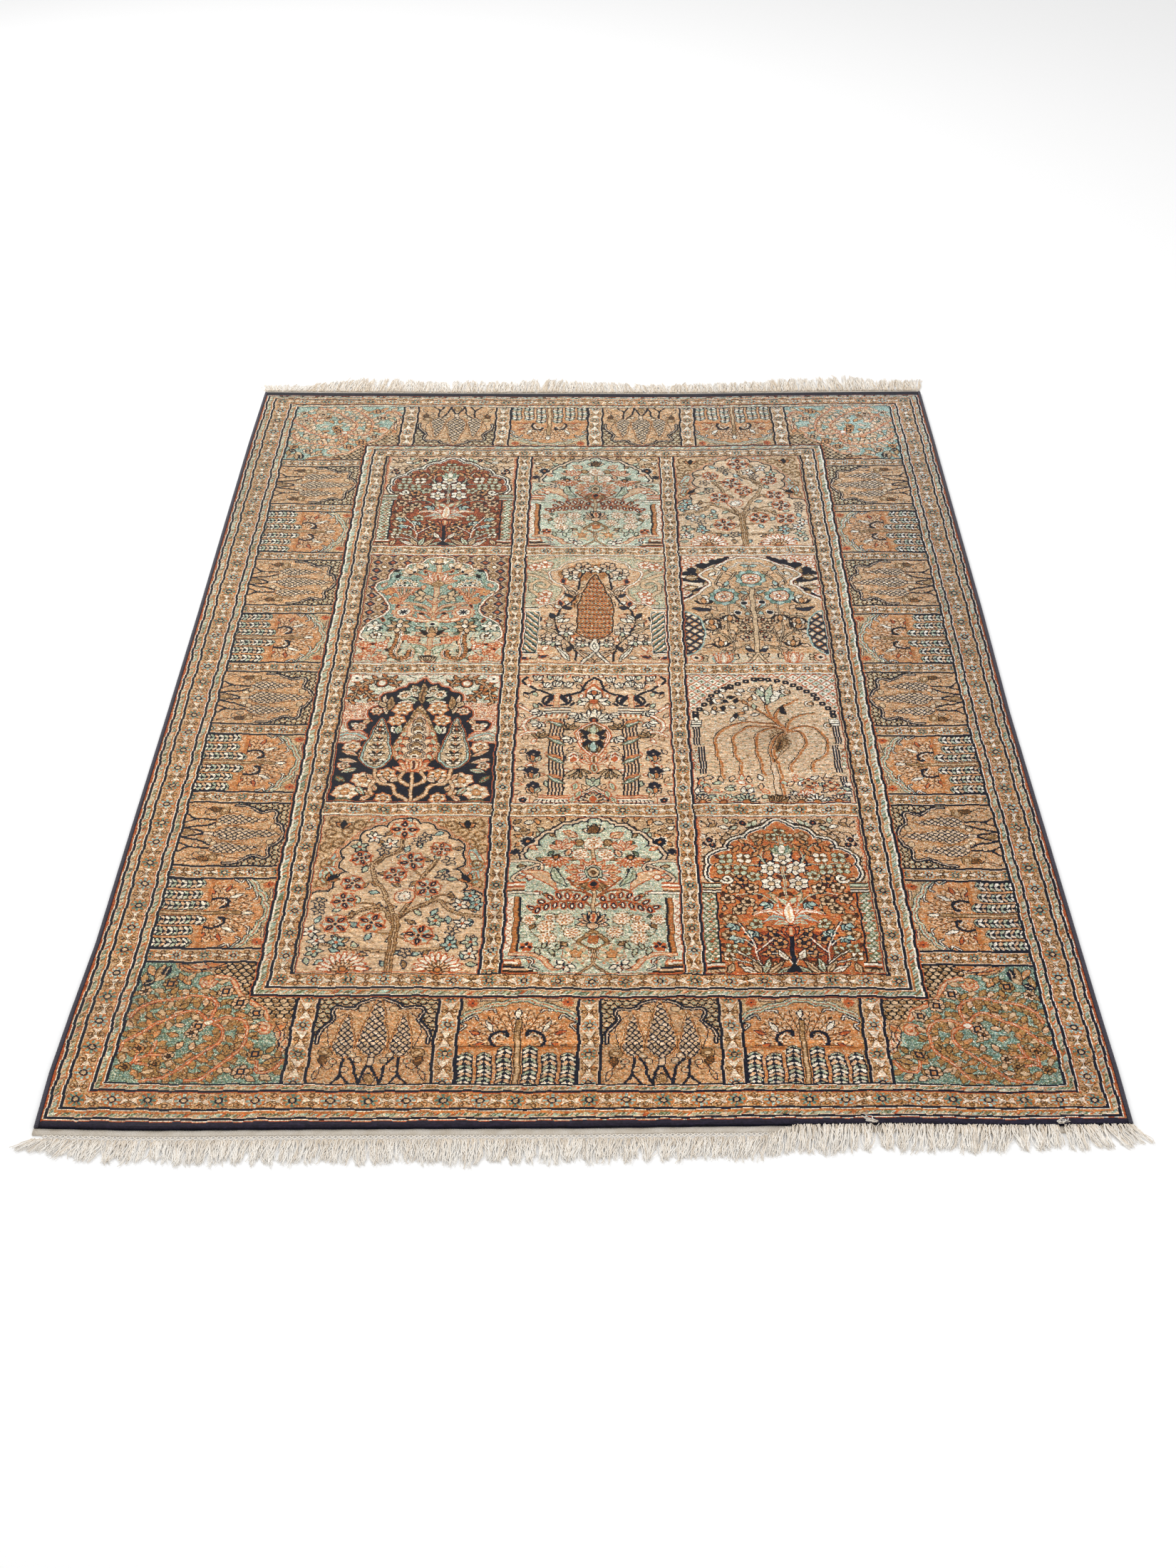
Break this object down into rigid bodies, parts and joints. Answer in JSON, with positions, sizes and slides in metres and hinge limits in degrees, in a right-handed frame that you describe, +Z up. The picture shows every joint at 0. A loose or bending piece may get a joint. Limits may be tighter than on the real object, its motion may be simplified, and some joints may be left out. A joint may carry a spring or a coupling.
{
  "type": "kashmir silk rug",
  "caption": "Hand-knotted silk garden rug with a compartment field, panelled borders, overcast sides and a knotted fringe at each end, lying flat.",
  "frame": {"origin": "under the middle of the rug's whole outline, fringes included, on the surface it lies on", "axes": "+X to the right across the rug, +Y from the front end to the back end, +Z up out of the pile"},
  "size_m": [1.2622, 1.9192, 0.0073],
  "materials": {
    "silk_pile": "cut silk pile with a soft brushed sheen, many-coloured garden pattern",
    "navy_overcasting": "tightly wrapped dark blue yarn",
    "woven_web": "plain woven undyed cotton",
    "warp_fringe": "knotted undyed warp yarn, soft and uneven"
  },
  "bodies": {
    "root": {"pile": "silk_pile", "selvedge_left": "navy_overcasting", "selvedge_right": "navy_overcasting", "web_front": "woven_web", "web_back": "woven_web", "fringe_front": "warp_fringe", "fringe_back": "warp_fringe"}
  },
  "joints": []
}
